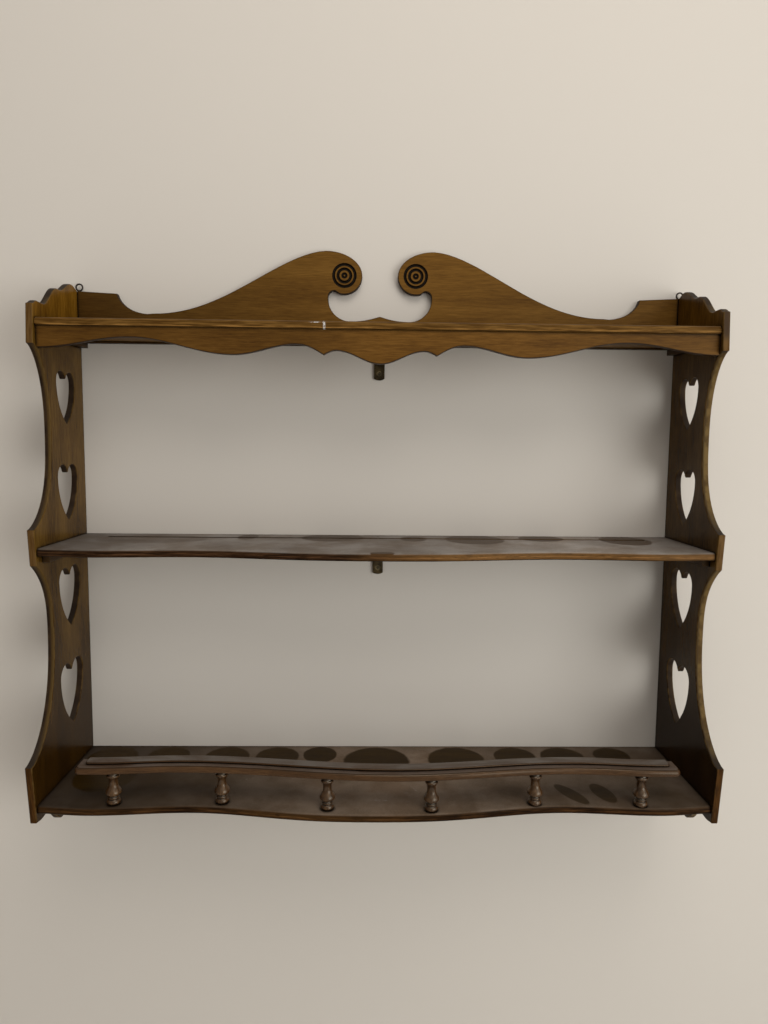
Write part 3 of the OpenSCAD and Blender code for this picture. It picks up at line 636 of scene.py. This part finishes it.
def rail_line(inset, back_inset):
    """The rail's plan, drawn in by the insets: along the nose, then back along the rear."""
    half = RAIL_L / 2 - inset
    corner = max(0.001, END_RADIUS - 0.3 * inset)
    turns = [corner * (1 - cos(radians(angle))) for angle in range(0, 90, 10)]
    steps = [-half + turn for turn in turns]
    steps += [-half + corner + (2 * half - 2 * corner) * i / FLAT_STEPS for i in range(FLAT_STEPS + 1)]
    steps += [half - turn for turn in reversed(turns)]
    front, back = [], []
    for step in steps:
        x = RAIL_MID + step
        over = max(0.0, abs(step) - half + corner)
        rounding = corner - sqrt(max(0.0, corner ** 2 - over ** 2))
        front.append((x, inset + rounding - nose_line(x)))
        back.append((x, RAIL_W - back_inset - nose_line(x)))
    return front + back[::-1]


def rail_layer(mesh, levels):
    """A closed solid through plans at rising levels: (height, nose inset, back inset)."""
    rings = []
    for z, inset, back_inset in levels:
        rings.append([mesh.verts.new((x, y, z)) for x, y in rail_line(inset, back_inset)])
    count = len(rings[0])
    for low, high in zip(rings, rings[1:]):
        for i in range(count):
            j = (i + 1) % count
            mesh.faces.new((low[i], low[j], high[j], high[i]))
    mesh.faces.new(reversed(rings[0]))
    mesh.faces.new(rings[-1])


rail_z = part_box("gallery_rail")[0].z
ledge_z = rail_z + RAIL_T - CAP_T
# The eased lower edge, then the nose as a quarter ellipse up to the ledge.
body = [(rail_z + 0.0001, 0.0018, 0.0010), (rail_z + 0.0005, 0.0008, 0.0004),
        (rail_z + 0.0014, 0.0002, 0.0001)]
for angle in range(0, 91, 10):
    turn = radians(angle)
    height = NOSE_FOOT + (RAIL_T - CAP_T - NOSE_FOOT) * sin(turn)
    body.append((rail_z + height, NOSE_DEEP * (1 - cos(turn)), 0.0))
cap = [(ledge_z - 0.001, CAP_STEP, 0.0)]
for angle in range(0, 91, 18):
    turn = radians(angle)
    drawn_in = CAP_ROUND * (1 - cos(turn))
    cap.append((rail_z + RAIL_T - CAP_ROUND * (1 - sin(turn)), CAP_STEP + drawn_in, drawn_in))

rail_wood, tree, parts = start_wood("rail_wood", (0, 0, 0), 13.0, (0.024, 0.010, 0.003),
                                    (0.050, 0.022, 0.008), (0.085, 0.040, 0.015))
up = parts["facing"]["Z"]
dust = dust_on(tree, parts, 5.0)
for x, depth, half_w, half_d in ((-0.355, 0.178, 0.030, 0.010), (-0.010, 0.192, 0.022, 0.008)):
    mark = use_group(tree, print_mark, {"Vector": parts["spot"], "Centre": (x, -depth, 0),
                                        "Radii": (half_w, half_d, THROUGH), "Blur": 0.2})["Mark"]
    bare = calc(tree, "SUBTRACT", 1.0, calc(tree, "MULTIPLY", mark, 0.6))
    dust = calc(tree, "MULTIPLY", dust, bare)
# Fingers keep the moulded nose clean; the dust lies on the two level faces behind it.
dust = calc(tree, "MULTIPLY", dust, fade(tree, up, 0.93, 0.995))
height = place(tree, "SeparateXYZ", {"Vector": parts["spot"]})["Z"]
on_cap = fade(tree, height, ledge_z + 0.0004, ledge_z + 0.0018)
laid = tint(tree, on_cap, (0.105, 0.078, 0.062, 1), (0.128, 0.110, 0.094, 1))
blotch = fade(tree, mottle(tree, stretched(tree, parts["spot"], (20, 90, 90)), 1.0, 4.0), 0.42, 0.62)
laid = tint(tree, calc(tree, "MULTIPLY", blotch, 0.5), laid, (0.060, 0.036, 0.022, 1))
colour = tint(tree, dust, parts["colour"], laid)
# The line where the level ledge turns over into the nose is darker.
ledge_turn = calc(tree, "MULTIPLY", fade(tree, up, 0.60, 0.80), fade(tree, up, 0.985, 0.94))
colour = tint(tree, calc(tree, "MULTIPLY", ledge_turn, 0.7), colour, (0.014, 0.007, 0.003, 1))
varnish(tree, parts, colour, calc(tree, "MULTIPLY_ADD", dust, 0.5, 0.24), 0.3)

rail = bmesh.new()
rail.faces.layers.float.new("arris")
rail_layer(rail, body)
rail_layer(rail, cap)
hang_piece(rail, "gallery_moulding", ["gallery_rail"], rail_wood)

# ---------------------------------------------------------------------- gallery spindles
# Six little turned balusters: a foot bead, a small bead, a vase that thins to a neck and a
# collar. They are lathe-turned from dark wood with a soft gloss, and stand between shelf
# and rail.
SPINDLE_TURNS = 48


def bulge(radius, rise, start, height, steps):
    """A half-round bead, from start upwards, that rises from the radius given."""
    return [(radius + rise * sin(pi * i / steps), start + height * i / steps) for i in range(steps + 1)]


def spindle_outline(tall, belly):
    """Radius and height up the spindle, as the lathe would cut it."""
    core, foot, bead, waist, neck = 0.0002, 0.0068, 0.0038, belly - 0.0046, 0.0058
    waist_z, neck_z, collar_z = 0.0124, tall * 0.63, tall - 0.0085
    belly_z = waist_z + 0.0038
    line = [(core, 0.0)]
    line += bulge(belly - 0.0026, 0.0013, 0.0, foot, 10)
    line += bulge(belly - 0.0039, 0.0011, foot + 0.0003, bead, 8)
    line += [(waist + (belly - waist) * sin(pi / 2 * i / 10),
              waist_z + (belly_z - waist_z) * (1 - cos(pi / 2 * i / 10))) for i in range(11)]
    line += [(half_wave(belly, neck, i / 16), belly_z + (neck_z - belly_z) * i / 16)
             for i in range(1, 17)]
    line += [(neck - 0.0002, collar_z), (neck + 0.0009, collar_z + 0.0004),
             (neck + 0.0009, collar_z + 0.0014)]
    line += bulge(neck + 0.0012, 0.0018, collar_z + 0.0016, 0.005, 8)
    return line + [(neck + 0.0018, tall), (core, tall)]


turning = bpy.data.node_groups.new("turning", "GeometryNodeTree")
for label, kind, way in (("Outline", "Geometry", "INPUT"), ("Turns", "Int", "INPUT"),
                         ("Place", "Vector", "INPUT"), ("Wood", "Material", "INPUT"),
                         ("Turned", "Geometry", "OUTPUT")):
    turning.interface.new_socket(label, in_out=way, socket_type="NodeSocket" + kind)
given = turning.nodes.new("NodeGroupInput").outputs


def lathe_step(kind, wires):
    return wire(turning, turning.nodes.new("GeometryNode" + kind), wires)[0]


profile = lathe_step("MeshToCurve", {"Mesh": given["Outline"]})
path = lathe_step("CurvePrimitiveCircle", {"Resolution": given["Turns"], "Radius": 0.00001})
turned = lathe_step("CurveToMesh", {"Curve": path, "Profile Curve": profile})
turned = lathe_step("MergeByDistance", {"Geometry": turned, "Distance": 0.00001})
turned = lathe_step("SetShadeSmooth", {"Geometry": turned})
turned = lathe_step("Transform", {"Geometry": turned, "Rotation": (pi, 0, 0)})
turned = lathe_step("Transform", {"Geometry": turned, "Translation": given["Place"]})
turned = lathe_step("RealizeInstances", {"Geometry": turned})
turned = lathe_step("SetMaterial", {"Geometry": turned, "Material": given["Wood"]})
turning.links.new(turned, turning.nodes.new("NodeGroupOutput").inputs["Turned"])


def turn_piece(name, line, spot, material):
    """Runs an outline through the turning tree and returns the result as a plain mesh object."""
    sketch = bpy.data.meshes.new(name + "_outline")
    sketch.from_pydata([(radius, height, 0) for radius, height in line],
                       [(i, i + 1) for i in range(len(line) - 1)], [])
    blank = bpy.data.objects.new(name, sketch)
    scene.collection.objects.link(blank)
    lathe = blank.modifiers.new("turning", "NODES")
    lathe.node_group = turning
    sockets = {item.name: item.identifier for item in turning.interface.items_tree
               if item.in_out == "INPUT"}
    lathe[sockets["Turns"]] = SPINDLE_TURNS
    lathe[sockets["Place"]] = spot
    lathe[sockets["Wood"]] = material
    finished = blank.evaluated_get(bpy.context.evaluated_depsgraph_get())
    shape = bpy.data.meshes.new_from_object(finished)
    blank.modifiers.clear()
    blank.data = shape
    return blank


spindle_wood, tree, parts = start_wood(
    "spindle_wood", (0, radians(90), 0), 17.0, (0.009, 0.003, 0.001), (0.044, 0.019, 0.006),
    (0.110, 0.053, 0.017))
# Grime and painted shade darken the grooves and corners.
colour = tint(tree, grime_and_shade_in(tree, 0.0035, 0.95, 0.6), parts["colour"], (0.003, 0.0015, 0.001, 1))
varnish(tree, parts, colour, 0.30, 0.45, 0.0001)
wire(tree, tree.nodes["Principled BSDF"], {"Coat Weight": 0.15, "Coat Roughness": 0.2})

shelf_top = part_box("bottom_shelf")[1].z
for number in range(1, 7):
    node = "gallery_spindle_%d" % number
    low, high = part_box(node)
    foot = ((low.x + high.x) / 2, (low.y + high.y) / 2, shelf_top)
    line = spindle_outline(rail_z - shelf_top, (high.x - low.x) / 2)
    piece = turn_piece("turned_baluster_%d" % number, line, foot, spindle_wood)
    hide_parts(node)
    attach(piece, "root")

# -------------------------------------------------------------------------------- cleats
# Square battens glued in the corners under the top and middle shelves, roughly planed and
# stained dark with the rest.
cleat_wood, tree, parts = start_wood("cleat_wood", (0, 0, radians(90)), 19.0, (0.020, 0.009, 0.003),
                                     (0.045, 0.022, 0.007), (0.075, 0.040, 0.013))
varnish(tree, parts, parts["colour"], 0.5)
for node in ("left_top_cleat", "right_top_cleat", "left_middle_cleat", "right_middle_cleat"):
    batten = cad_copy(node)
    ease_edges(batten, batten.edges[:], 0.0006, 2)
    if "top" in node:
        sagged(batten)
    hang_piece(batten, node + "_batten", [node], cleat_wood, 60)

# ------------------------------------------------------------------ wall brackets, screws
# Bent strips of 2 mm brass with bowed ends, gone brown with age, and countersunk cross-head
# screws, whose lighter brass is a painted highlight. Hollows and recesses are black.


def old_brass(name, dark, light):
    material, tree, shader = new_material(name)
    where = place(tree, "TexCoord", {})
    bloom = mottle(tree, where["Object"], 120.0, 4.0, 0.6)
    spots = mottle(tree, where["Object"], 700.0, 3.0, 0.6)
    colour = tint(tree, fade(tree, bloom, 0.36, 0.62), (*dark, 1), (*light, 1))
    colour = tint(tree, fade(tree, spots, 0.56, 0.72), colour, (0.008, 0.005, 0.002, 1))
    # Grime and painted shade blacken the hollows and recesses.
    colour = tint(tree, grime_and_shade_in(tree, 0.0015, 0.85, 0.5), colour, (0.003, 0.002, 0.001, 1))
    bump = place(tree, "Bump", {"Height": spots, "Distance": 0.00005, "Strength": 0.5})[0]
    rough = calc(tree, "MULTIPLY_ADD", bloom, 0.3, 0.32)
    wire(tree, shader, {"Base Color": colour, "Metallic": 0.75, "Roughness": rough, "Normal": bump})
    return material


aged_brass = old_brass("aged_brass", (0.020, 0.012, 0.003), (0.064, 0.042, 0.014))
# The screws' lighter brass is a painted highlight.
highlit_brass = old_brass("highlit_brass", (0.060, 0.045, 0.022), (0.170, 0.125, 0.060))
for node in ("upper_wall_bracket", "middle_wall_bracket"):
    hang_piece(cad_copy(node), node + "_strip", [node], aged_brass, 40)
for node in ("upper_shelf_screws", "middle_shelf_screws", "upper_wall_screws", "middle_wall_screws"):
    hang_piece(cad_copy(node), node + "_pair", [node], highlit_brass, 40)

# ---------------------------------------------------------------- screw eyes and brads
# Bent steel wire eyes screwed into the two top corners, and the cut brads that pin the
# joints, driven a little below the surface. All of it is dull and nearly black.
dark_steel, tree, shader = new_material("dark_steel")
rust = mottle(tree, place(tree, "TexCoord", {})["Object"], 500.0, 4.0, 0.6)
colour = tint(tree, fade(tree, rust, 0.45, 0.65), (0.030, 0.027, 0.025, 1), (0.070, 0.040, 0.024, 1))
wire(tree, shader, {"Base Color": colour, "Metallic": 0.7,
                    "Roughness": calc(tree, "MULTIPLY_ADD", rust, 0.4, 0.3)})

for node in ("left_screw_eye", "right_screw_eye"):
    hang_piece(cad_copy(node), node + "_wire", [node], dark_steel, 60)
for node in ("left_side_brads", "right_side_brads", "pediment_brads", "apron_brads"):
    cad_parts[node].data.materials.clear()
    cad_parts[node].data.materials.append(dark_steel)
